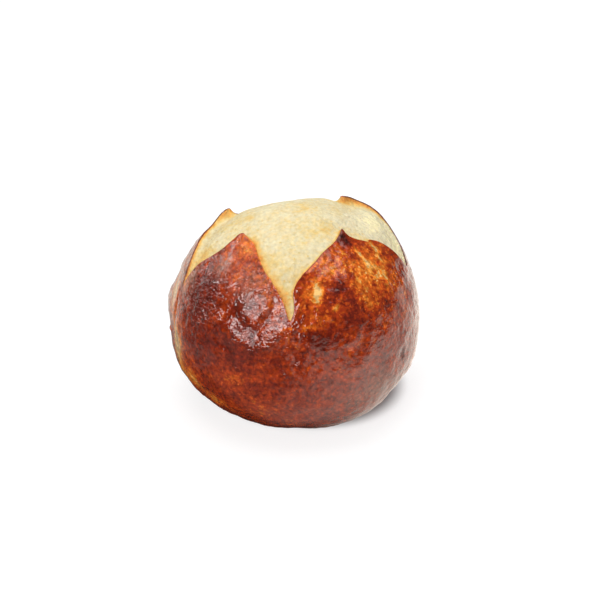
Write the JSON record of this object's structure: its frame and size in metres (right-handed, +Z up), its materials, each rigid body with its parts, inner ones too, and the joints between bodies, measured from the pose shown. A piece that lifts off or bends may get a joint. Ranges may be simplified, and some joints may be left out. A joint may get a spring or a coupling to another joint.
{
  "type": "pretzel roll",
  "caption": "Round pretzel roll with a crosswise cut opened in the oven: glossy dark crust petals round a pale domed star of crumb",
  "frame": {"origin": "the middle of the bounding box's bottom face, on the flat base that the roll rests on", "axes": "+Z up through the dome, -Y towards the front arm of the star, +X to the right seen from the front"},
  "size_m": [0.0872, 0.0856, 0.0692],
  "materials": {
    "crust": "glossy baked crust, mahogany brown with amber mottling",
    "crumb": "matte, finely porous bread crumb, pale cream"
  },
  "bodies": {
    "root": {"pretzel_roll": "crust"}
  },
  "joints": []
}
